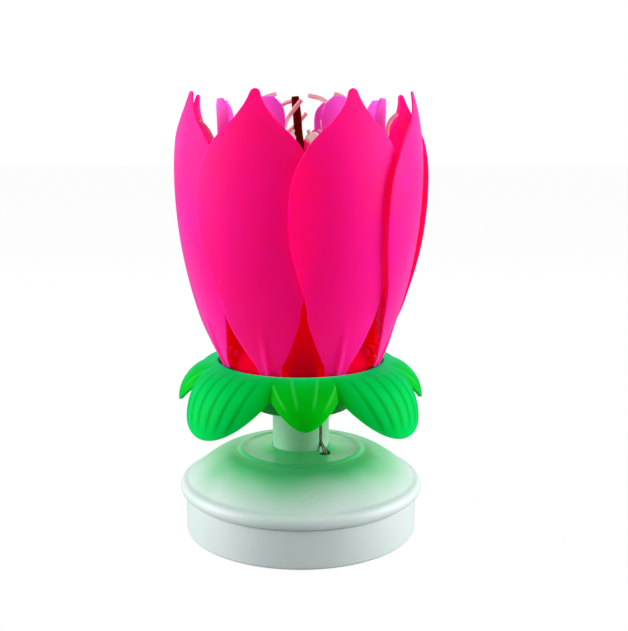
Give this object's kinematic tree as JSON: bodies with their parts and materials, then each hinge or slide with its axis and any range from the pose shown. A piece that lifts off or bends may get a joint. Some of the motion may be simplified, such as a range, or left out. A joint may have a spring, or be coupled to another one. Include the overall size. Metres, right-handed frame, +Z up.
{
  "type": "musical birthday candle",
  "caption": "Lotus-shaped musical candle: a bud of hinged petals on a green calyx and stem, which opens and spins on a round base.",
  "frame": {"origin": "centre of the base tray's underside, on the surface that it stands on", "axes": "+Z up along the stem and the turntable's axis; -Y is the side that the picture shows"},
  "size_m": [0.0604, 0.0604, 0.1066],
  "materials": {
    "hot_pink": "translucent glossy moulded plastic, crimson to magenta",
    "inner_pink": "translucent glossy moulded plastic",
    "deep_pink": "glossy moulded plastic",
    "leaf_green": "glossy moulded plastic with lengthwise veins",
    "white_plastic": "glossy white plastic with a green sprayed bloom round the stem",
    "gear_plastic": "natural nylon",
    "motor_steel": "plated steel",
    "brass": "plain brass",
    "board": "green laminate",
    "resin": "black resin",
    "card_tube": "rolled card",
    "fuse_red": "matt dark red",
    "enamel_brown": "enamelled wire",
    "wax": "matt wax, slightly see-through",
    "cotton": "twisted cotton"
  },
  "bodies": {
    "base": {"base_tray": "white_plastic", "ring_gear": "gear_plastic"},
    "turntable": {"base_dome": "white_plastic", "mechanism_plate": "white_plastic", "stem": "white_plastic", "receptacle": "leaf_green", "calyx": "leaf_green", "petal_carrier": "deep_pink", "fountain_tube": "card_tube", "fuse": "fuse_red", "hold_thread": "cotton", "motor": "motor_steel", "idler_axle": "motor_steel", "cell_1": "motor_steel", "cell_2": "motor_steel", "cell_contact_lower": "brass", "cell_contact_upper": "brass", "circuit_board": "board", "music_chip": "resin", "piezo_sounder": "brass", "pivot_screw": "motor_steel", "dome_screw_1": "motor_steel", "dome_screw_2": "motor_steel", "contact_wire_1": "enamel_brown", "contact_wire_2": "enamel_brown", "trigger_switch": "resin"},
    "idler": {"idler_gear": "gear_plastic"},
    "pinion": {"motor_pinion": "brass"},
    "petal_1_assembly": {"petal_1": "hot_pink", "candle_leaf_1": "inner_pink", "candle_1": "wax", "candle_wick_1": "cotton"},
    "petal_2_assembly": {"petal_2": "hot_pink", "candle_leaf_2": "inner_pink", "candle_2": "wax", "candle_wick_2": "cotton"},
    "petal_3_assembly": {"petal_3": "hot_pink", "candle_leaf_3": "inner_pink", "candle_3": "wax", "candle_wick_3": "cotton"},
    "petal_4_assembly": {"petal_4": "hot_pink", "candle_leaf_4": "inner_pink", "candle_4": "wax", "candle_wick_4": "cotton"},
    "petal_5_assembly": {"petal_5": "hot_pink", "candle_leaf_5": "inner_pink", "candle_5": "wax", "candle_wick_5": "cotton"},
    "petal_6_assembly": {"petal_6": "hot_pink", "candle_leaf_6": "inner_pink", "candle_6": "wax", "candle_wick_6": "cotton"},
    "petal_7_assembly": {"petal_7": "hot_pink", "candle_leaf_7": "inner_pink", "candle_7": "wax", "candle_wick_7": "cotton"},
    "petal_8_assembly": {"petal_8": "hot_pink", "candle_leaf_8": "inner_pink", "candle_8": "wax", "candle_wick_8": "cotton"}
  },
  "joints": [
    {"name": "turntable_spin", "type": "hinge", "parent": "base", "child": "turntable", "pos_m": [0, 0, 0], "axis": [0, 0, 1], "continuous": true},
    {"name": "idler_spin", "type": "hinge", "parent": "turntable", "child": "idler", "pos_m": [0.01622, 0.00868, 0.004], "axis": [0, 0, 1], "continuous": true},
    {"name": "pinion_spin", "type": "hinge", "parent": "turntable", "child": "pinion", "pos_m": [0.0105, 0, 0.006], "axis": [0, 0, 1], "continuous": true},
    {"name": "petal_1_hinge", "type": "hinge", "parent": "turntable", "child": "petal_1_assembly", "pos_m": [0.00719, -0.01607, 0.04605], "axis": [0.9128, 0.4083, 0], "range_deg": [0, 64]},
    {"name": "petal_2_hinge", "type": "hinge", "parent": "turntable", "child": "petal_2_assembly", "pos_m": [0.01644, -0.00628, 0.04605], "axis": [0.3567, 0.9342, 0], "range_deg": [0, 64]},
    {"name": "petal_3_hinge", "type": "hinge", "parent": "turntable", "child": "petal_3_assembly", "pos_m": [0.01607, 0.00719, 0.04605], "axis": [-0.4083, 0.9128, 0], "range_deg": [0, 64]},
    {"name": "petal_4_hinge", "type": "hinge", "parent": "turntable", "child": "petal_4_assembly", "pos_m": [0.00628, 0.01644, 0.04605], "axis": [-0.9342, 0.3567, 0], "range_deg": [0, 64]},
    {"name": "petal_5_hinge", "type": "hinge", "parent": "turntable", "child": "petal_5_assembly", "pos_m": [-0.00719, 0.01607, 0.04605], "axis": [-0.9128, -0.4083, 0], "range_deg": [0, 64]},
    {"name": "petal_6_hinge", "type": "hinge", "parent": "turntable", "child": "petal_6_assembly", "pos_m": [-0.01644, 0.00628, 0.04605], "axis": [-0.3567, -0.9342, 0], "range_deg": [0, 64]},
    {"name": "petal_7_hinge", "type": "hinge", "parent": "turntable", "child": "petal_7_assembly", "pos_m": [-0.01607, -0.00719, 0.04605], "axis": [0.4083, -0.9128, 0], "range_deg": [0, 64]},
    {"name": "petal_8_hinge", "type": "hinge", "parent": "turntable", "child": "petal_8_assembly", "pos_m": [-0.00628, -0.01644, 0.04605], "axis": [0.9342, -0.3567, 0], "range_deg": [0, 64]}
  ],
  "couplings": [
    {"joint": "idler_spin", "follows": "turntable_spin", "ratio": -5.6},
    {"joint": "pinion_spin", "follows": "turntable_spin", "ratio": 12.6},
    {"joint": "petal_2_hinge", "follows": "petal_1_hinge", "ratio": 1},
    {"joint": "petal_3_hinge", "follows": "petal_1_hinge", "ratio": 1},
    {"joint": "petal_4_hinge", "follows": "petal_1_hinge", "ratio": 1},
    {"joint": "petal_5_hinge", "follows": "petal_1_hinge", "ratio": 1},
    {"joint": "petal_6_hinge", "follows": "petal_1_hinge", "ratio": 1},
    {"joint": "petal_7_hinge", "follows": "petal_1_hinge", "ratio": 1},
    {"joint": "petal_8_hinge", "follows": "petal_1_hinge", "ratio": 1}
  ]
}
